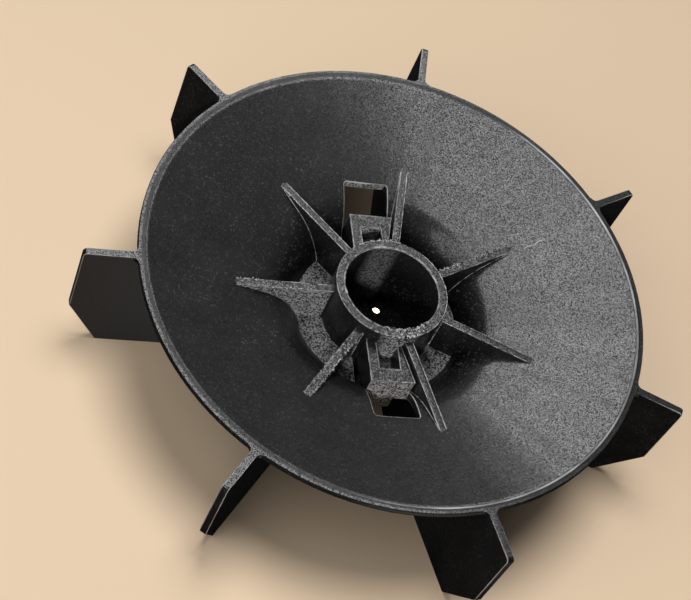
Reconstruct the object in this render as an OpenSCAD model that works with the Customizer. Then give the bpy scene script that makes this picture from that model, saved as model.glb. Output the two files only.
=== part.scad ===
// Motor cooling fan: one moulding in black plastic, seven straight radial blades
// under a dished disc, a blind hub for the shaft end and two puller lugs.
// Millimetres, +Z along the shaft axis, z = 0 at the open mouth of the bore.

/* [Hub] */
// bore for the shaft end, across
bore_d = 43; // [42:0.1:44]
// bore depth from the mouth to the end wall
bore_depth = 39; // [36:0.5:42]
// wall of the hub ring
hub_wall = 4.3; // [3.6:0.1:5]
// end wall closing the bore
end_wall = 4; // [3:0.5:6]
// air relief hole in the end wall, across
vent_d = 3.5; // [2.5:0.1:4]
// thickness of the end wall left round the hole
vent_lip = 0.8; // [0.6:0.1:1.5]
// recess below the hole, across
vent_recess_d = 9; // [7:0.5:9.5]
// air relief hole, distance from the axis
vent_r = 15.8; // [12:0.1:17]
// air relief hole, bearing round the axis
vent_bearing = 109; // [100:1:118]

/* [Disc] */
// disc across its rim
rim_d = 230; // [224:1:236]
// rim face above the hub mouth
rim_rise = 9.5; // [7:0.5:12]
// flat band round the rim face
rim_band = 2.6; // [2:0.1:4]
// width of the steeper flare just inside the band
flare_width = 2.2; // [1.6:0.1:2.8]
// rise of the flare
flare_rise = 1.1; // [0.9:0.05:1.4]
// wall thickness of the disc
disc_wall = 3.6; // [3:0.1:4.4]
// slope of the outer cone
cone_slope = 16.7; // [15:0.1:18]
// radius at which the cone starts to bend down
bend_start = 57; // [55:0.5:59]
// radius of the bend
bend_radius = 31; // [29:0.5:33]
// floor ring below the hub mouth
floor_drop = 24; // [22:0.5:25.5]

/* [Blades] */
// number of blades, each in line with a rib above the disc
blade_count = 7; // [7]
// diameter over the blade tips
tip_d = 276; // [268:1:284]
// blade thickness
blade_wall = 3.3; // [2.8:0.1:3.8]
// bottom edge of the blades below the rim face
blade_drop = 64; // [60:0.5:67]
// straight part of the outer edge, rim face down to the slant
edge_drop = 39; // [36:0.5:42]
// how far the outer edge leans in over the straight part
edge_lean = 0.7; // [0.2:0.1:1.5]
// width of the slanted corner at the foot of the tip
slant_width = 15.5; // [12:0.5:18]
// rounding of the upper tip corner
tip_round = 2; // [1:0.5:3]
// radius where the bottom edge starts to climb towards the hub
climb_start = 50; // [44:1:60]
// fillet between a blade and the rim
rim_fillet = 2.5; // [1.5:0.5:3.5]

/* [Ribs] */
// top edge of the ribs below the hub mouth
rib_drop = 3.8; // [3:0.1:5]
// fillet between a rib and the hub
hub_fillet = 1.2; // [0.8:0.1:1.6]
// web beside the first rib, length along the rib
gusset_run = 2.8; // [2:0.1:4]
// web beside the first rib, width along the hub
gusset_rise = 4.6; // [4:0.1:6]
// bearing of the first rib and blade
first_bearing = 18.75; // [18.75]

/* [Puller lugs] */
// sideways shift of both lugs, away from the nearest ribs
lug_shift = 3.4; // [3.2:0.1:3.8]
// inner face of the crossbar from the axis
loop_reach = 37.3; // [36:0.1:38.5]
// crossbar, radial thickness
bar_wall = 6.4; // [5.5:0.1:7]
// width of the loop opening
loop_width = 9.6; // [8.5:0.1:10]
// width of the plain side arm
arm_wall = 4.4; // [3.8:0.1:4.8]
// gap between the narrow arm and the rib beside it
arm_gap = 1; // [0.8:0.1:1.4]
// lug top below the hub mouth
lug_drop = 7; // [6:0.5:8]
// height of the arms and crossbar
lug_height = 14; // [12:0.5:15]
// floor of the loop below the hub mouth
tongue_drop = 17.5; // [16:0.5:18.5]
// underside of the tongue below the hub mouth
tongue_foot = 28; // [26:0.5:30]
// window through disc and floor, end from the axis
window_reach = 61.4; // [59:0.1:63]
// gap between the plain arm and the window side
window_gap = 1; // [0.8:0.1:1.4]
// far side of the window from the lug line
window_side = 7.1; // [6.6:0.1:7.6]
// rounding of the window corners
window_round = 1.5; // [1:0.1:2]

/* [Hidden] */
$fn = 96;

bore_r = bore_d / 2;
hub_r = bore_r + hub_wall;
hub_foot = bore_depth + end_wall;
rim_r = rim_d / 2;
tip_r = tip_d / 2;
pitch = 360 / blade_count;
lap = 1;

cone_tan = tan(cone_slope);
band_r = rim_r - rim_band;
flare_r = band_r - flare_width;
bend_z = rim_rise - flare_rise - cone_tan * (flare_r - bend_start);
// the crown of the bend stands this much above the cone, so that the two cross cleanly
seam = 0.01;
// centre of the bend, below the disc
bend_x = on_cone(0, seam - bend_radius)[0];
bend_y = on_cone(0, seam - bend_radius)[1];
rim_under = on_cone(0, -disc_wall)[1] + cone_tan * (rim_r - on_cone(0, -disc_wall)[0]);
floor_foot = floor_drop + disc_wall;
// radius at which the bend meets the top of the floor
floor_r = bend_x - sqrt(pow(bend_radius, 2) - pow(bend_y + floor_drop, 2));

blade_foot = rim_rise - blade_drop;
edge_foot = rim_rise - edge_drop;
slant_r = tip_r - edge_lean - slant_width;
rib_end = bend_start - (bend_z + rib_drop) / cone_tan;

lug_bearing = first_bearing + 2 * pitch + pitch / 4;
// outer face of the crossbar from the axis
lug_reach = loop_reach + bar_wall;
arm_side = lug_shift + loop_width / 2 + arm_wall;
loop_low = lug_shift - loop_width / 2;
rib_lean = tan(pitch / 4);
arm_back = blade_wall / 2 / cos(pitch / 4) + arm_gap / cos(pitch / 4);

plastic = [0.07, 0.07, 0.075];

// disc and floor ring, turned from one profile

// point of the profile, s outward along the cone from the bend and n above its face
function on_cone(s, n) = [
    bend_start + s * cos(cone_slope) - n * sin(cone_slope),
    bend_z + s * sin(cone_slope) + n * cos(cone_slope)
];

module bend_profile() {
    intersection() {
        difference() {
            translate([bend_x, bend_y]) circle(r = bend_radius);
            translate([bend_x, bend_y]) circle(r = bend_radius - disc_wall);
        }
        polygon([
            [0, -bend_radius],
            on_cone(-8, -bend_radius),
            on_cone(0, -disc_wall),
            on_cone(1.2, 0),
            on_cone(5, 10),
            [0, bend_radius]
        ]);
        translate([0, -floor_foot]) square([2 * bend_start, 2 * floor_foot]);
    }
}

module cone_profile() {
    polygon([
        on_cone(0, 0),
        [flare_r, rim_rise - flare_rise],
        [band_r, rim_rise],
        [rim_r - 0.4, rim_rise],
        [rim_r, rim_rise - 0.4],
        [rim_r, rim_under + 0.8],
        [rim_r - 0.8, rim_under - 0.8 * cone_tan],
        on_cone(-1.2, -disc_wall)
    ]);
}

module floor_profile() {
    translate([hub_r - lap, -floor_foot]) square([floor_r + 1.5 - hub_r + lap, disc_wall]);
}

module dish() {
    rotate_extrude() {
        bend_profile();
        cone_profile();
        floor_profile();
    }
}

// windows round the puller lugs

module rounded_slab(low, high, r, t) {
    linear_extrude(height = t) {
        translate([low[0] + r, low[1]]) square([high[0] - low[0] - 2 * r, high[1] - low[1]]);
        translate([low[0], low[1] + r]) square([high[0] - low[0], high[1] - low[1] - 2 * r]);
        for (x = [low[0] + r, high[0] - r])
            for (y = [low[1] + r, high[1] - r])
                translate([x, y]) circle(r = r);
    }
}

module window() {
    translate([0, 0, -floor_foot - lap])
        rounded_slab([bore_r - 4, -window_side], [window_reach, arm_side + window_gap],
            window_round, floor_foot + rim_rise);
}

module lug_pair() {
    rotate([0, 0, lug_bearing]) {
        children();
        mirror([1, 0, 0]) children();
    }
}

// hub with its blind bore

module hub() {
    translate([0, 0, -hub_foot]) cylinder(r = hub_r, h = hub_foot - 0.5);
    translate([0, 0, -0.5]) cylinder(r1 = hub_r, r2 = hub_r - 0.5, h = 0.5);
}

module bore() {
    translate([0, 0, -bore_depth]) cylinder(r = bore_r, h = bore_depth + lap);
}

// the hole opens into a recess below, which leaves only a thin lip round it
module vent() {
    rotate([0, 0, vent_bearing]) translate([vent_r, 0, -hub_foot - lap]) {
        cylinder(r = vent_d / 2, h = end_wall + 2 * lap);
        cylinder(r = vent_recess_d / 2, h = end_wall - vent_lip + lap);
    }
}

// each blade and the rib above it are one upright plate

module fin_outline() {
    polygon([
        [hub_r - lap, -rib_drop],
        [rib_end, -rib_drop],
        [rib_end + 3, cone_tan * 3 - rib_drop - 1.6],
        [band_r, rim_rise - 1.6],
        [band_r + 1.2, rim_rise],
        [tip_r - tip_round, rim_rise],
        [tip_r, rim_rise - tip_round],
        [tip_r - edge_lean, edge_foot],
        [slant_r, blade_foot],
        [climb_start, blade_foot],
        [hub_r - lap, -hub_foot + lap]
    ]);
    translate([tip_r - tip_round, rim_rise - tip_round]) circle(r = tip_round);
}

module fin() {
    translate([0, blade_wall / 2, 0]) rotate([90, 0, 0])
        linear_extrude(height = blade_wall) fin_outline();
}

// fillet in the corner between a round wall of radius wall_r and a fin face
module corner_fillet(wall_r, r, low, high) {
    yc = blade_wall / 2 + r;
    xc = sqrt(pow(wall_r + r, 2) - yc * yc);
    touch_x = xc * wall_r / (wall_r + r);
    touch_y = yc * wall_r / (wall_r + r);
    translate([0, 0, low]) linear_extrude(height = high - low)
        difference() {
            polygon([
                [xc, blade_wall / 2],
                [touch_x, touch_y],
                [touch_x - 1, touch_y],
                [touch_x - 1, blade_wall / 2 - 0.5],
                [xc, blade_wall / 2 - 0.5]
            ]);
            translate([xc, yc]) circle(r = r);
        }
}

// small web in the corner between the hub and one side of the first rib
module gusset() {
    side = blade_wall / 2 + gusset_rise;
    foot = sqrt(hub_r * hub_r - side * side);
    translate([0, 0, -floor_drop - lap]) linear_extrude(height = floor_drop + lap - rib_drop)
        polygon([
            [hub_r - lap, 0],
            [hub_r + gusset_run, 0],
            [hub_r + gusset_run, blade_wall / 2],
            [foot, side],
            [foot - lap, side - lap]
        ]);
}

module fins() {
    rotate([0, 0, first_bearing]) gusset();
    for (k = [0 : blade_count - 1])
        rotate([0, 0, first_bearing + k * pitch]) {
            fin();
            for (side = [0, 1]) mirror([0, side, 0]) {
                corner_fillet(rim_r, rim_fillet, rim_under + 1, rim_rise);
                corner_fillet(hub_r, hub_fillet, -floor_drop - lap, -rib_drop);
            }
        }
}

// puller lug: a loop of two arms and a crossbar, closed below by a tongue

module puller_lug() {
    inner = bore_r - 4;
    lug_foot = lug_drop + lug_height;
    difference() {
        translate([0, 0, -lug_foot]) linear_extrude(height = lug_height)
            polygon([
                [inner, arm_back - inner * rib_lean],
                [lug_reach, arm_back - lug_reach * rib_lean],
                [lug_reach, arm_side],
                [inner, arm_side]
            ]);
        translate([0, loop_low, -tongue_drop])
            cube([loop_reach, loop_width, tongue_drop]);
    }
    translate([inner, loop_low, -tongue_foot])
        cube([lug_reach - inner, loop_width, tongue_foot - lug_foot + lap]);
}

// the whole moulding

module fan() {
    color(plastic)
    difference() {
        union() {
            difference() {
                dish();
                lug_pair() window();
            }
            hub();
            fins();
            lug_pair() puller_lug();
        }
        bore();
        vent();
    }
}

fan();
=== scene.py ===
"""Looks of the motor cooling fan: its finish, moulding flash, table, lamps and camera."""

import math
import random

import bmesh
import bpy
from mathutils import Euler, Matrix, Vector
from mathutils.bvhtree import BVHTree


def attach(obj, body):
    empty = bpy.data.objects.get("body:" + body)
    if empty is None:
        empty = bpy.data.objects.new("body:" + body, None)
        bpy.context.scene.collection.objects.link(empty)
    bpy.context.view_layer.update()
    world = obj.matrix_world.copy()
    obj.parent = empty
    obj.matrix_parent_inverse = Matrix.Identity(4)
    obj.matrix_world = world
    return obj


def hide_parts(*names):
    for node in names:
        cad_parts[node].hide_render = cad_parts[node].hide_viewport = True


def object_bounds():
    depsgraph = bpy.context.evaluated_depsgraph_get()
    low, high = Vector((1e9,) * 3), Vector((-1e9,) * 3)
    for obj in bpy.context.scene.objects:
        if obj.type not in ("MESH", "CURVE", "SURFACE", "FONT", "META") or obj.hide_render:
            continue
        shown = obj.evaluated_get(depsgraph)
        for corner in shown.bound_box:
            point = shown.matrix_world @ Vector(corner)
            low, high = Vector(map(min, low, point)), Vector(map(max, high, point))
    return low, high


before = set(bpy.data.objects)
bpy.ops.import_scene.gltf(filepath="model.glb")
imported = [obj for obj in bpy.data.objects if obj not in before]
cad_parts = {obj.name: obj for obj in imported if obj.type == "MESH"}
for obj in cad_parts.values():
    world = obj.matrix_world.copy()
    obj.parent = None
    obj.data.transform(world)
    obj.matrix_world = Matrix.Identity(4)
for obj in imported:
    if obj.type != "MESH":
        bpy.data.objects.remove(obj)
cad_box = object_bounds()

MM = 0.001

# the table lies under the feet of the blades
FLOOR_Z = cad_box[0].z

# lines of the fan that finishes and flash keep to: heights and half a rib's width in mm,
# and the bearings of the first rib and from rib to rib in degrees
HUB_MOUTH = 0.0
RIB_TOP = -3.8
LUG_TOP = -7.0
RIB_SIDE = 1.65
FIRST_RIB = 18.75
PITCH = 360 / 7


def towards(azimuth, elevation):
    """The direction from the fan at that bearing and height, in degrees."""
    around, above = math.radians(azimuth), math.radians(elevation)
    flat = math.cos(above)
    return Vector((flat * math.cos(around), flat * math.sin(around), math.sin(above)))


# ---------------------------------------------------------------- node helpers


def add_node(tree, kind, place, **values):
    """A new shader node at a place in the tree, its properties set by name."""
    node = tree.nodes.new(kind)
    node.location = place
    for name, value in values.items():
        setattr(node, name, value)
    return node


def feed(tree, socket, value):
    """Link a socket to another node's output, or give it a fixed value."""
    if isinstance(value, bpy.types.NodeSocket):
        tree.links.new(value, socket)
    else:
        socket.default_value = value


def maths(tree, place, operation, *values, **settings):
    """The result of a maths node that is fed with the values in turn."""
    node = add_node(tree, "ShaderNodeMath", place, operation=operation, **settings)
    for socket, value in zip(node.inputs, values):
        feed(tree, socket, value)
    return node.outputs["Value"]


def product(tree, place, first, *others):
    """Several masks multiplied, in a row of nodes that starts at the place."""
    result = first
    for step, other in enumerate(others):
        spot = (place[0] + 180 * step, place[1])
        result = maths(tree, spot, "MULTIPLY", result, other)
    return result


def vector_maths(tree, place, operation, *values):
    """The result of a vector node: a number for a length or a dot product."""
    node = add_node(tree, "ShaderNodeVectorMath", place, operation=operation)
    for socket, value in zip(node.inputs, values):
        feed(tree, socket, value)
    is_number = operation in ("LENGTH", "DOT_PRODUCT")
    return node.outputs["Value" if is_number else "Vector"]


def remap(tree, place, value, span, first, last):
    """The value's span, from low to high, turned into first to last and cut off there."""
    node = add_node(tree, "ShaderNodeMapRange", place)
    for name, limit in zip(("From Min", "From Max", "To Min", "To Max"), (*span, first, last)):
        node.inputs[name].default_value = limit
    tree.links.new(value, node.inputs["Value"])
    return node.outputs["Result"]


def blend(tree, place, share, under, over):
    """One colour laid over another, by a share from 0 to 1."""
    node = add_node(tree, "ShaderNodeMix", place, data_type="RGBA")
    feed(tree, node.inputs["Factor"], share)
    feed(tree, node.inputs["A"], under)
    feed(tree, node.inputs["B"], over)
    return node.outputs["Result"]


def on_the_object(tree, place):
    """Where a point lies on the fan, in metres from the middle of the hub mouth."""
    return add_node(tree, "ShaderNodeTexCoord", place).outputs["Object"]


def height_of(tree, place, vector):
    node = add_node(tree, "ShaderNodeSeparateXYZ", place)
    tree.links.new(vector, node.inputs["Vector"])
    return node.outputs["Z"]


def across_part(tree, place, vector):
    """The vector without its height, so that it is measured from the shaft axis."""
    return vector_maths(tree, place, "MULTIPLY", vector, (1.0, 1.0, 0.0))


def new_group(name, inputs, outputs):
    """An empty shader group with its named number sockets, and its two end nodes."""
    group = bpy.data.node_groups.new(name, "ShaderNodeTree")
    for label, value in inputs.items():
        socket = group.interface.new_socket(
            label, in_out="INPUT", socket_type="NodeSocketFloat"
        )
        socket.default_value = value
    for label in outputs:
        group.interface.new_socket(label, in_out="OUTPUT", socket_type="NodeSocketFloat")
    start = add_node(group, "NodeGroupInput", (-900, 0))
    end = add_node(group, "NodeGroupOutput", (1100, 0))
    return group, start, end


def put_out(group, end, results):
    """Link the named results to the group's end node."""
    for label, result in results.items():
        group.links.new(result, end.inputs[label])


def use_group(tree, place, group):
    node = add_node(tree, "ShaderNodeGroup", place)
    node.node_tree = group
    return node.outputs


# ------------------------------------------------------------------- finishes

# spans over which a pattern or a mask goes from nothing to all
NARROW = (0.35, 0.65)
WIDE = (0.3, 0.7)
WHOLE = (0.0, 1.0)


def grey(level):
    return (level, level, level, 1.0)


def spark_grain_group():
    """Grain of a spark-eroded mould: small facets, coarser grit, low pits, a broad mottle.

    Flecks are the few grits that shine out. Streaks run outward from the hub.
    """
    group, start, end = new_group(
        "spark_grain",
        {
            "Facets per metre": 3200.0,
            "Grit per metre": 1700.0,
            "Pits per metre": 1400.0,
            "Mottle per metre": 45.0,
            "Streaks per turn": 11.0,
        },
        ("Facets", "Flecks", "Grit", "Pits", "Mottle", "Streaks"),
    )
    where = on_the_object(group, (-900, 300))
    cells = "ShaderNodeTexVoronoi"
    cloud = "ShaderNodeTexNoise"
    out = vector_maths(
        group, (-300, -500), "NORMALIZE", across_part(group, (-500, -500), where)
    )
    patterns = {}
    for name, rate, kind, place, vector in (
        ("Facets", "Facets per metre", cells, (-500, 500), where),
        ("Grit", "Grit per metre", cells, (-500, 800), where),
        ("Pits", "Pits per metre", cloud, (-500, 150), where),
        ("Mottle", "Mottle per metre", cloud, (-500, -200), where),
        ("Streaks", "Streaks per turn", cloud, (-100, -500), out),
    ):
        node = add_node(group, kind, place)
        group.links.new(vector, node.inputs["Vector"])
        group.links.new(start.outputs[rate], node.inputs["Scale"])
        patterns[name] = node
    for name, detail in (("Pits", 0.0), ("Mottle", 3.0), ("Streaks", 2.0)):
        patterns[name].inputs["Detail"].default_value = detail

    shares = {}
    for name, place in (("Facets", (-250, 500)), ("Grit", (-250, 800))):
        node = add_node(group, "ShaderNodeSeparateColor", place)
        group.links.new(patterns[name].outputs["Color"], node.inputs["Color"])
        shares[name] = node.outputs
    mottle = patterns["Mottle"].outputs["Fac"]
    # one grit in ten or so is a fleck, and stronger where the mottle is high
    fleck = remap(group, (0, 400), shares["Grit"]["Green"], (0.9, 0.98), 0.0, 1.0)
    patch = remap(group, (0, -300), mottle, NARROW, 0.35, 1.0)
    put_out(group, end, {
        "Facets": shares["Facets"]["Red"],
        "Flecks": product(group, (300, 300), fleck, patch),
        "Grit": shares["Grit"]["Red"],
        "Pits": patterns["Pits"].outputs["Fac"],
        "Mottle": mottle,
        "Streaks": patterns["Streaks"].outputs["Fac"],
    })
    return group


# painted light: the walls that face this bearing, in degrees, are painted paler, as if lit
# from that side
LIT_SIDE_BEARING = 317
# just outside the bore, in metres
BORE_EDGE = 21.8 * MM
# radii over which the painted light on the walls thins to a fainter painted light on the
# blades
LIT_WALL_EDGE = (72 * MM, 82 * MM)
# heights and radii over which the painted shade of the neck fades
NECK_HEIGHTS = (-18 * MM, -4 * MM)
NECK_RADII = (55 * MM, 85 * MM)
# how squarely a face has to look at that bearing, or up: the cosine from none to all
SQUARE_TO_BEARING = (0.93, 0.99)
SQUARE_UP = (0.95, 0.99)


def painted_light_and_shade_group():
    """Painted light: paler walls that face one side, and a paler floor of the cup.

    The cup floor is what looks up from below the given height, within its reach. What
    looks up from above it is a top. Farther out, on the blades, the painted light thins to
    an even, fainter one. The painted shade is the dark neck between disc and hub.
    """
    group, start, end = new_group(
        "painted_light_and_shade",
        {"Floor share": 0.6, "Hub share": 0.4, "Reach": 0.075, "Floor below": -0.014},
        ("Painted light", "Far painted light", "Outside hub", "Top", "Depth"),
    )
    where = on_the_object(group, (-1100, 300))
    normal = add_node(group, "ShaderNodeNewGeometry", (-1100, 0)).outputs["Normal"]
    height = height_of(group, (-850, -200), where)
    radius = vector_maths(group, (-650, 500), "LENGTH", across_part(group, (-850, 500), where))
    facing = vector_maths(
        group, (-850, 100), "DOT_PRODUCT", normal, towards(LIT_SIDE_BEARING, 0)
    )
    wall = remap(group, (-600, 100), facing, SQUARE_TO_BEARING, 0.0, 1.0)
    level = remap(
        group, (-600, -400), height_of(group, (-850, -400), normal), SQUARE_UP, 0.0, 1.0
    )
    outside = maths(group, (-400, 550), "GREATER_THAN", radius, BORE_EDGE)
    near = maths(group, (-400, 350), "LESS_THAN", radius, start.outputs["Reach"])
    in_cup = maths(group, (-600, -100), "LESS_THAN", height, HUB_MOUTH * MM)
    low = maths(group, (-600, -250), "LESS_THAN", height, start.outputs["Floor below"])
    high = maths(group, (-300, -600), "SUBTRACT", 1.0, low)

    share = maths(group, (-150, 500), "MAXIMUM", outside, start.outputs["Hub share"])
    fade = remap(group, (-150, 700), radius, LIT_WALL_EDGE, 1.0, 0.0)
    far = remap(group, (-150, 900), radius, LIT_WALL_EDGE, 0.0, 1.0)
    # painted light: paler walls that face one side, and a paler cup floor
    on_walls = product(group, (50, 250), wall, in_cup, share, fade)
    on_floor = product(
        group, (-100, -100), level, low, near, outside, start.outputs["Floor share"]
    )
    # painted shade: deeper and nearer the hub, the neck is painted darker
    deep = remap(group, (-100, -850), height, NECK_HEIGHTS, 1.0, 0.0)
    inward = remap(group, (-100, -1100), radius, NECK_RADII, 1.0, 0.0)
    put_out(group, end, {
        "Painted light": maths(group, (750, 100), "ADD", on_walls, on_floor, use_clamp=True),
        "Far painted light": product(group, (550, 400), far, wall),
        "Outside hub": outside,
        "Top": product(group, (100, -600), level, near, high),
        "Depth": product(group, (100, -850), deep, inward),
    })
    return group


# bearing that the painted highlight, a pale line round the rim, is centred on, in degrees
HIGHLIGHT_BEARING = 20
# how far the line reaches round from there: the cosine from none to all
HIGHLIGHT_ARC = (0.1, 0.5)
# half the width of the line, and the two edges of the dull band, in metres
HIGHLIGHT_HALF_WIDTH = 0.4 * MM
BAND_INNER = (111.2 * MM, 111.8 * MM)
BAND_OUTER = (113.2 * MM, 113.8 * MM)


def rim_wear_and_highlight_group():
    """The flat of the rim: its inner half is dull, with a painted highlight, a pale line,
    round one side.
    """
    group, start, end = new_group(
        "rim_wear_and_highlight", {"Line radius": 0.1122, "Rim height": 0.0085}, ("Dull", "Line")
    )
    where = on_the_object(group, (-900, 300))
    height = height_of(group, (-700, 550), where)
    top = maths(group, (-500, 550), "GREATER_THAN", height, start.outputs["Rim height"])
    across = across_part(group, (-700, 300), where)
    radius = vector_maths(group, (-500, 300), "LENGTH", across)
    way = vector_maths(group, (-500, 0), "NORMALIZE", across)
    side = vector_maths(group, (-300, 0), "DOT_PRODUCT", way, towards(HIGHLIGHT_BEARING, 0))
    rise = remap(group, (-250, 500), radius, BAND_INNER, 0.0, 1.0)
    fall = remap(group, (-250, 250), radius, BAND_OUTER, 1.0, 0.0)
    arc = remap(group, (0, -100), side, HIGHLIGHT_ARC, 0.0, 1.0)
    # painted highlight: a pale line round the rim, on one side only
    highlight_ring = maths(
        group, (0, 150), "COMPARE", radius, start.outputs["Line radius"], HIGHLIGHT_HALF_WIDTH
    )
    put_out(group, end, {
        "Dull": product(group, (200, 400), rise, fall, top),
        "Line": product(group, (200, 150), highlight_ring, arc, top),
    })
    return group


SPARK_GRAIN = spark_grain_group()
PAINTED_LIGHT_AND_SHADE = painted_light_and_shade_group()
RIM_WEAR_AND_HIGHLIGHT = rim_wear_and_highlight_group()

# the plastic, in two tones, and the flecks, painted light, painted shade and painted
# highlights over it
PLASTIC_DARK = (0.0085, 0.0085, 0.009, 1.0)
PLASTIC_LIGHT = (0.0125, 0.0125, 0.013, 1.0)
PAINTED_NECK_SHADE = grey(0.003)
FAR_PAINTED_LIGHT_GREY = grey(0.045)
FLECK_GREY = grey(0.05)
PAINTED_LIGHT_GREY = grey(0.30)
PAINTED_HIGHLIGHT_GREY = grey(0.36)


def plastic_colour(tree, grain, painted, rim):
    """Two tones of black, then the painted shade of the neck, the fainter painted light on the
    blades, flecks, the painted light in the cup and the painted highlights of the edges over
    them.
    """
    tone = remap(tree, (-200, 300), grain["Mottle"], NARROW, 0.0, 1.0)
    shade = blend(tree, (150, 300), tone, PLASTIC_DARK, PLASTIC_LIGHT)
    # painted shade: the neck is painted near black
    neck_shaded = blend(tree, (300, 50), painted["Depth"], shade, PAINTED_NECK_SHADE)
    # painted light: the blade walls that face one side are painted paler
    far_side_lit = blend(tree, (400, -50), painted["Far painted light"], neck_shaded, FAR_PAINTED_LIGHT_GREY)
    flecked = blend(tree, (400, 150), grain["Flecks"], far_side_lit, FLECK_GREY)

    # the painted light in the cup lies in the grain, here and there
    caught = remap(tree, (-200, 800), grain["Grit"], WIDE, 0.05, 1.0)
    side_lit_share = product(tree, (100, 650), painted["Painted light"], caught)
    side_lit = blend(tree, (400, 400), side_lit_share, flecked, PAINTED_LIGHT_GREY)

    # painted highlight: the outer edges, the flash along them and a line round the rim are
    # painted a paler grey, more in some places than in others
    edge = add_node(tree, "ShaderNodeAttribute", (-600, 950), attribute_name="painted_edge_highlight")
    patchy = remap(tree, (-200, 1050), grain["Mottle"], (0.35, 0.6), 0.35, 1.0)
    painted_highlight = maths(tree, (-200, 1250), "MAXIMUM", edge.outputs["Fac"], rim["Line"])
    highlight_share = product(tree, (100, 950), painted_highlight, patchy)
    return blend(tree, (650, 500), highlight_share, side_lit, PAINTED_HIGHLIGHT_GREY)


def coat_weight(tree, grain, painted, rim):
    """The gloss, from grain to grain, for the facets catch the light one by one."""
    gloss = remap(tree, (-200, 50), grain["Facets"], WIDE, 0.0, 1.0)
    # less on the inner rim, in the bore, here and there on the tops, and in the neck, where
    # the dulling is part of the painted shade
    bare = remap(tree, (-400, -900), grain["Grit"], NARROW, 1.0, 0.1)
    patches = product(tree, (-300, -700), bare, painted["Top"])
    keeps = [
        remap(tree, (-200 + 200 * step, -700), mask, span, first, last)
        for step, (mask, span, first, last) in enumerate((
            (rim["Dull"], WHOLE, 1.0, 0.25),
            (painted["Outside hub"], WHOLE, 0.35, 1.0),
            (patches, WHOLE, 1.0, 0.1),
            (painted["Depth"], WHOLE, 1.0, 0.25),
            (grain["Streaks"], NARROW, 0.8, 1.0),
        ))
    ]
    return product(tree, (-100, -500), gloss, *keeps)


def black_moulding():
    """Black plastic as it comes out of the mould: satin, with a fine eroded grain."""
    material = bpy.data.materials.new("black_moulding")
    material.use_nodes = True
    tree = material.node_tree
    tree.nodes.clear()
    out = add_node(tree, "ShaderNodeOutputMaterial", (1300, 0))
    skin = add_node(tree, "ShaderNodeBsdfPrincipled", (950, 0))
    tree.links.new(skin.outputs["BSDF"], out.inputs["Surface"])

    grain = use_group(tree, (-600, 0), SPARK_GRAIN)
    painted = use_group(tree, (-600, 600), PAINTED_LIGHT_AND_SHADE)
    rim = use_group(tree, (-600, -400), RIM_WEAR_AND_HIGHLIGHT)
    relief = add_node(tree, "ShaderNodeBump", (150, -450))
    for name, value in (("Strength", 1.0), ("Distance", 0.1 * MM), ("Height", grain["Pits"])):
        feed(tree, relief.inputs[name], value)
    for name, value in (
        ("IOR", 1.5),
        ("Specular IOR Level", 0.12),
        ("Coat IOR", 1.75),
        ("Coat Roughness", 0.18),
        ("Base Color", plastic_colour(tree, grain, painted, rim)),
        ("Coat Weight", coat_weight(tree, grain, painted, rim)),
        ("Roughness", remap(tree, (-200, -200), grain["Pits"], WIDE, 0.28, 0.40)),
        ("Normal", relief.outputs["Normal"]),
    ):
        feed(tree, skin.inputs[name], value)
    return material


BLACK_MOULDING = black_moulding()


def pale_table():
    """Plain pale table top."""
    material = bpy.data.materials.new("pale_table")
    material.use_nodes = True
    skin = material.node_tree.nodes["Principled BSDF"]
    skin.inputs["Base Color"].default_value = (0.83, 0.64, 0.45, 1.0)
    skin.inputs["Roughness"].default_value = 0.7
    skin.inputs["Specular IOR Level"].default_value = 0.1
    return material


# --------------------------------------------------------------------- pieces

# width of the rounding that the mould leaves on the outer edges
EDGE_ROUNDING = 0.35 * MM
# corners closer than this are one, and edges shorter than the next are none
SAME_CORNER = 0.02 * MM
NO_EDGE = 0.01 * MM
# an edge is sharp from this angle on, and faces within the next are one flat
SHARP_EDGE = math.radians(50)
FLAT_TOLERANCE = math.radians(0.3)

# small fillets that already round these places, as radius and height ranges in mm
FILLETED = (
    ((0.0, 28.5), (-4.2, -3.4)),
    ((113.5, 119.0), (5.0, 9.6)),
    ((0.0, 29.0), (-60.0, -20.0)),
)


def edge_place(edge):
    """How far the middle of an edge is from the shaft axis, and its height, in mm."""
    middle = (edge.verts[0].co + edge.verts[1].co) / 2 / MM
    return math.hypot(middle.x, middle.y), middle.z


def is_filleted(edge):
    radius, height = edge_place(edge)
    return any(
        near <= radius <= far and low <= height <= high
        for (near, far), (low, high) in FILLETED
    )


def moulding_mesh(source):
    """The fan's own mesh, merged, with its flat faces joined and its outer edges rounded."""
    shape = bmesh.new()
    shape.from_mesh(source.data)
    bmesh.ops.remove_doubles(shape, verts=shape.verts, dist=SAME_CORNER)
    bmesh.ops.dissolve_degenerate(shape, edges=shape.edges, dist=NO_EDGE)
    bmesh.ops.dissolve_limit(
        shape,
        angle_limit=FLAT_TOLERANCE,
        use_dissolve_boundaries=False,
        verts=shape.verts,
        edges=shape.edges,
    )
    outer = [
        edge
        for edge in shape.edges
        if edge.is_convex
        and edge.calc_face_angle(0.0) > SHARP_EDGE
        and not is_filleted(edge)
    ]
    # painted highlight: the rounded outer edges are painted paler
    painted_edge_highlight = shape.faces.layers.float.new("painted_edge_highlight")
    rounded = bmesh.ops.bevel(
        shape,
        geom=outer,
        offset=EDGE_ROUNDING,
        offset_type="OFFSET",
        affect="EDGES",
        segments=2,
        profile=0.5,
        material=-1,
        clamp_overlap=False,
    )
    for face in rounded["faces"]:
        face[painted_edge_highlight] = 1.0
    for face in shape.faces:
        face.smooth = True
    for edge in shape.edges:
        edge.smooth = edge.calc_face_angle(0.0) < SHARP_EDGE
    mesh = bpy.data.meshes.new("fan_moulding")
    shape.to_mesh(mesh)
    shape.free()
    return mesh


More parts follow.
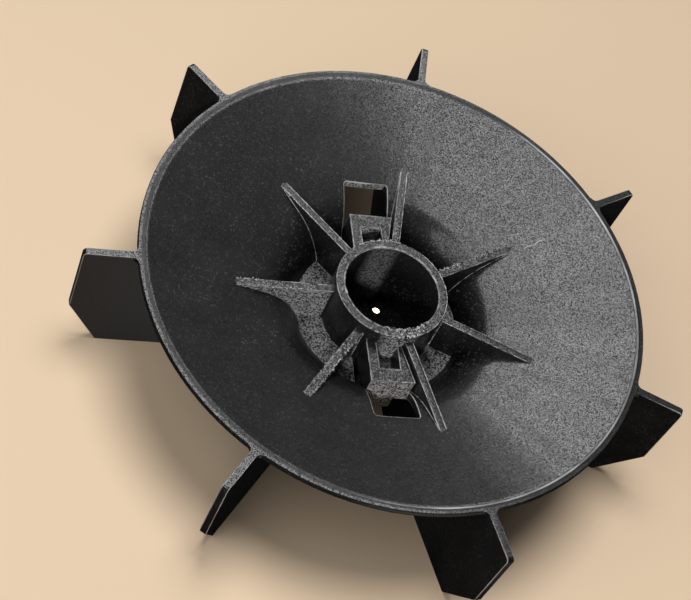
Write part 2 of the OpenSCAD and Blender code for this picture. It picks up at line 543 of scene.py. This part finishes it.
def make_moulding():
    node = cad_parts["fan"]
    piece = bpy.data.objects.new("fan_moulding", moulding_mesh(node))
    bpy.context.scene.collection.objects.link(piece)
    piece.data.materials.append(BLACK_MOULDING)
    weights = piece.modifiers.new("even_normals", "WEIGHTED_NORMAL")
    weights.mode = "FACE_AREA"
    weights.keep_sharp = True
    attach(piece, "root")
    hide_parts("fan")
    return piece


moulding = make_moulding()


# crumbs and beads of flash lie along the edges where the mould closes; their paler tones are a
# painted highlight


def round_the_ring(radius, first, last):
    """Places on the hub mouth, from one bearing to another."""
    def place(share):
        bearing = math.radians(first + (last - first) * share)
        return Vector((radius * math.cos(bearing), radius * math.sin(bearing), HUB_MOUTH))
    return place


def along_a_rib(rib, near, far, side):
    """Places on the top edge of a rib, on its left (1) or right (-1) seen from the hub."""
    bearing = math.radians(FIRST_RIB + rib * PITCH)
    out = Vector((math.cos(bearing), math.sin(bearing), 0.0))
    left = Vector((-out.y, out.x, 0.0))

    def place(share):
        reach = near + (far - near) * share
        return out * reach + left * side * RIB_SIDE + Vector((0.0, 0.0, RIB_TOP))
    return place


# where the crumbs lie, how many, their size and how far they stray, in mm
CRUMB_RUNS = (
    (round_the_ring(21.7, 298, 352), 80, 1.8, 0.3),
    (round_the_ring(23.6, 300, 348), 60, 1.1, 0.8),
    (round_the_ring(25.2, 305, 342), 40, 1.6, 0.3),
    (round_the_ring(25.5, 118, 152), 34, 1.3, 0.3),
    (round_the_ring(25.3, 168, 215), 24, 0.8, 0.2),
    (along_a_rib(1, 28, 64, 1), 80, 1.2, 0.3),
    (along_a_rib(1, 30, 50, -0.4), 14, 0.9, 0.3),
    (along_a_rib(4, 36, 69, 1), 60, 1.0, 0.3),
    (along_a_rib(4, 58, 69, -1), 24, 1.2, 0.3),
    (along_a_rib(5, 32, 67, 1), 70, 1.2, 0.3),
    (along_a_rib(5, 32, 67, -0.7), 70, 1.2, 0.4),
    (along_a_rib(3, 52, 68, 1), 18, 0.9, 0.2),
)
# how much of the size each side of a crumb has at least
THINNEST = 0.35
# the beads of flash are round wires, with these radii in mm, uneven by these shares
MOUTH_BEAD = 0.42
OUTER_BEAD = 0.25
CREASE_BEAD = 0.28
TOP_BEAD = 0.22
KNIT_BEAD = 0.26
UNEVEN = (0.6, 1.2)
# radii of the two edges of the hub mouth in mm, and the chords that each is laid in
MOUTH_RADIUS = 21.9
OUTER_RADIUS = 25.4
CHORDS = 96
# a bead is laid in short lengths of about this, also in mm
BEAD_STEP = 2.0
# bearing of the rib side without flash, in degrees, and the cosine that counts as facing it
CLEAN_SIDE = 288.75
SAME_WAY = 0.95
# the most that an upright face's normal rises, and the least that a level face's does
UPRIGHT = 0.05
LEVEL = 0.99
# an edge lies on a top within this, and a crease ends this far below it, in mm
ON_TOP = 0.05
BELOW_TOP = 0.3
# where creases and top edges with flash lie: radii in mm, and the height above the floor
CREASE_RADII = (28.0, 74.0)
TOP_RADII = (26.5, 74.0)
ABOVE_FLOOR = -23.5
# lines where the plastic met beyond a rib: bearing, first and last radius, lengths of bead
KNIT_LINES = ((67.7, 74.5, 85.0, 6), (73.8, 72.0, 76.5, 2))
# how far such a line strays to either side, in degrees
KNIT_STRAY = 0.3
# how pale the dullest bead is, on the edges and on those lines, and the tones of crumbs, as
# painted highlight
EDGE_DULLEST = 0.15
KNIT_DULLEST = 0.9
CRUMB_TONES = (0.0, 0.4, 0.8, 1.0)


def is_crease(edge, radius, height):
    """Where the side of a rib rises out of the disc, but for one side that is clean."""
    side = min((face.normal for face in edge.link_faces), key=lambda way: abs(way.z))
    return (
        not edge.is_convex
        and abs(side.z) < UPRIGHT
        and side.dot(towards(CLEAN_SIDE, 0)) < SAME_WAY
        and CREASE_RADII[0] < radius < CREASE_RADII[1]
        and ABOVE_FLOOR < height < RIB_TOP - BELOW_TOP
    )


def is_top_edge(edge, radius, height):
    """The outline of the top of a rib or a lug."""
    on_top = min(abs(height - RIB_TOP), abs(height - LUG_TOP)) < ON_TOP
    flat = max(face.normal.z for face in edge.link_faces) > LEVEL
    return on_top and flat and edge.is_convex and TOP_RADII[0] < radius < TOP_RADII[1]


def sharp_runs(chosen):
    """The short straight runs of sharp edges of the fan that are chosen."""
    shape = bmesh.new()
    shape.from_mesh(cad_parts["fan"].data)
    bmesh.ops.remove_doubles(shape, verts=shape.verts, dist=SAME_CORNER)
    runs = []
    for edge in shape.edges:
        if edge.calc_face_angle(0.0) >= SHARP_EDGE and chosen(edge, *edge_place(edge)):
            runs.append([vert.co.copy() for vert in edge.verts])
    shape.free()
    return runs


def ring_chords(radius):
    """An edge of the hub mouth as short chords."""
    corners = [
        Vector((radius * math.cos(turn), radius * math.sin(turn), HUB_MOUTH)) * MM
        for turn in (math.tau * step / CHORDS for step in range(CHORDS))
    ]
    return list(zip(corners, corners[1:] + corners[:1]))


def knit_line(bearing, near, far, steps):
    """Short lengths of a faint line where the plastic met again beyond a rib."""
    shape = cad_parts["fan"].data
    surface = BVHTree.FromPolygons(
        [vert.co for vert in shape.vertices], [face.vertices for face in shape.polygons]
    )
    places = []
    for step in range(steps + 1):
        out = towards(bearing + KNIT_STRAY * math.sin(1.7 * step), 0)
        above = out * (near + (far - near) * step / steps) * MM + Vector((0.0, 0.0, 0.1))
        places.append(surface.ray_cast(above, Vector((0.0, 0.0, -1.0)))[0])
    return list(zip(places, places[1:]))


def paint_highlight(made, layer, tone):
    """Paint the faces that an operator has just made with a painted highlight, by a tone from
    0 to 1.
    """
    for face in {face for vert in made["verts"] for face in vert.link_faces}:
        face[layer] = tone


def add_bead(shape, layer, start, end, radius, dullest, chance):
    """A thin wire of flash from start to end, uneven from one short length to the next."""
    run = end - start
    turn = run.to_track_quat("Z", "Y").to_matrix().to_4x4()
    steps = max(1, round(run.length / MM / BEAD_STEP))
    for step in range(steps):
        wire = bmesh.ops.create_cone(
            shape,
            cap_ends=True,
            segments=6,
            radius1=radius * chance.uniform(*UNEVEN) * MM,
            radius2=radius * chance.uniform(*UNEVEN) * MM,
            depth=run.length / steps,
            matrix=Matrix.Translation(start + run * (step + 0.5) / steps) @ turn,
        )
        paint_highlight(wire, layer, chance.uniform(dullest, 1.0))


def add_crumb(shape, layer, place, size, stray, chance):
    """A crumb of flash near the place, turned and flattened at random."""
    off = Vector([chance.gauss(0.0, stray) for _ in range(2)] + [0.0])
    spot = place(chance.random()) + off
    turn = Euler([chance.uniform(0.0, math.tau) for _ in range(3)]).to_matrix()
    sides = Vector([size * chance.uniform(THINNEST, 1.0) for _ in range(3)])
    whereabouts = (
        Matrix.Translation(spot * MM)
        @ turn.to_4x4()
        @ Matrix.Diagonal(sides * MM).to_4x4()
    )
    crumb = bmesh.ops.create_icosphere(shape, subdivisions=1, radius=0.5, matrix=whereabouts)
    paint_highlight(crumb, layer, chance.choice(CRUMB_TONES))


def make_flash_crumbs():
    chance = random.Random(7)
    crumbs = bmesh.new()
    painted_highlight = crumbs.faces.layers.float.new("painted_edge_highlight")
    for runs, radius, dullest in (
        (ring_chords(MOUTH_RADIUS), MOUTH_BEAD, EDGE_DULLEST),
        (ring_chords(OUTER_RADIUS), OUTER_BEAD, EDGE_DULLEST),
        (sharp_runs(is_crease), CREASE_BEAD, EDGE_DULLEST),
        (sharp_runs(is_top_edge), TOP_BEAD, EDGE_DULLEST),
        *((knit_line(*line), KNIT_BEAD, KNIT_DULLEST) for line in KNIT_LINES),
    ):
        for start, end in runs:
            add_bead(crumbs, painted_highlight, start, end, radius, dullest, chance)
    for place, count, size, stray in CRUMB_RUNS:
        for _ in range(count):
            add_crumb(crumbs, painted_highlight, place, size, stray, chance)
    mesh = bpy.data.meshes.new("flash_crumbs")
    crumbs.to_mesh(mesh)
    crumbs.free()
    mesh.materials.append(BLACK_MOULDING)
    piece = bpy.data.objects.new("flash_crumbs", mesh)
    bpy.context.scene.collection.objects.link(piece)
    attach(piece, "root")
    return piece


flash = make_flash_crumbs()


# ---------------------------------------------------------------------- table


# wide enough to fill the picture from every side, in metres
TABLE_SIZE = 6.0


def make_table():
    slab = bmesh.new()
    bmesh.ops.create_grid(slab, x_segments=1, y_segments=1, size=TABLE_SIZE)
    bmesh.ops.translate(slab, verts=slab.verts, vec=(0.0, 0.0, FLOOR_Z))
    mesh = bpy.data.meshes.new("table")
    slab.to_mesh(mesh)
    slab.free()
    table = bpy.data.objects.new("table", mesh)
    bpy.context.scene.collection.objects.link(table)
    mesh.materials.append(pale_table())
    table.visible_glossy = False
    return table


table = make_table()


# --------------------------------------------------------------------- lights


def hang_lamp(lamp, azimuth, elevation, distance, aim=Vector()):
    """Place a lamp at that bearing, height and distance from the aim, facing it."""
    holder = bpy.data.objects.new(lamp.name, lamp)
    way = towards(azimuth, elevation)
    holder.location = aim + way * distance
    holder.rotation_euler = (-way).to_track_quat("-Z", "Y").to_euler()
    bpy.context.scene.collection.objects.link(holder)
    return holder


def soft_lamp(name, azimuth, elevation, distance, half_angle, radiance, aim=Vector()):
    """A round soft box whose rim is half_angle degrees off its middle, seen from the aim."""
    lamp = bpy.data.lights.new(name, "AREA")
    lamp.shape = "DISK"
    lamp.size = 2 * distance * math.tan(math.radians(half_angle))
    lamp.energy = radiance * math.pi * math.pi * lamp.size**2 / 4
    return hang_lamp(lamp, azimuth, elevation, distance, aim)


def snooted_lamp(name, azimuth, elevation, distance, reach, power):
    """A small lamp that lights only what lies within reach of the fan's hub."""
    lamp = bpy.data.lights.new(name, "SPOT")
    lamp.energy = power
    lamp.shadow_soft_size = 0.12
    lamp.spot_size = 2 * math.atan(reach / distance)
    lamp.spot_blend = 0.5
    return hang_lamp(lamp, azimuth, elevation, distance)


def shines_on(holder, *pieces):
    """Let a lamp light these pieces alone."""
    receivers = bpy.data.collections.new(holder.name + "_receivers")
    for piece in pieces:
        receivers.objects.link(piece)
    holder.light_linking.receiver_collection = receivers


# bearing and height in degrees, distance in metres, half angle in degrees, radiance
for name, bearing, above, distance, half_angle, radiance, lit in (
    ("soft_box", 145, 58, 1.3, 30.0, 3.8, (moulding, flash)),
    ("right_wall", 78, 40, 1.4, 36.0, 0.13, (moulding, flash)),
    ("left_box", 241, 60, 1.3, 17.0, 3.0, (moulding, flash)),
    ("overhead", 150, 84, 1.6, 15.0, 11.0, (table,)),
    ("floor_fill", 255, 38, 1.6, 32.0, 1.5, (table,)),
):
    shines_on(soft_lamp(name, bearing, above, distance, half_angle, radiance), *lit)

# a small light under the hub, so that the table shows bright through the air hole
BELOW_AIR_HOLE = Vector((-8.1, 27.1, -54.5)) * MM
under_hub = soft_lamp("under_hub", 0, 90, 8 * MM, 30.0, 5.0, BELOW_AIR_HOLE)
under_hub.data.spread = math.radians(50)
under_hub.visible_camera = False
shines_on(under_hub, table)

# a narrow lamp from the front, for the sides of the hub and the lugs
hub_lamp = snooted_lamp("hub_lamp", 292, 36, 1.2, 85 * MM, 130.0)
hub_lamp.visible_glossy = False
shines_on(hub_lamp, moulding, flash)

# the room is dark but for the lamps
ROOM_LIGHT = 0.005
world = bpy.data.worlds.new("studio")
world.use_nodes = True
backdrop = world.node_tree.nodes["Background"]
backdrop.inputs["Color"].default_value = (1.0, 1.0, 1.0, 1.0)
backdrop.inputs["Strength"].default_value = ROOM_LIGHT
bpy.context.scene.world = world
bpy.context.scene.view_settings.view_transform = "Standard"


# --------------------------------------------------------------------- camera

camera = bpy.data.cameras.new("camera")
camera.sensor_width = 36.0
camera.lens = 97.9
camera.clip_start = 0.05
camera.clip_end = 20.0
# where the eye is in metres, and how it is turned in degrees
EYE_PLACE = (0.12108, -0.50487, 0.63940)
EYE_TURN = (34.616, -16.954, 38.121)
eye = bpy.data.objects.new("camera", camera)
eye.location = EYE_PLACE
eye.rotation_euler = Euler([math.radians(angle) for angle in EYE_TURN])
bpy.context.scene.collection.objects.link(eye)
bpy.context.scene.camera = eye
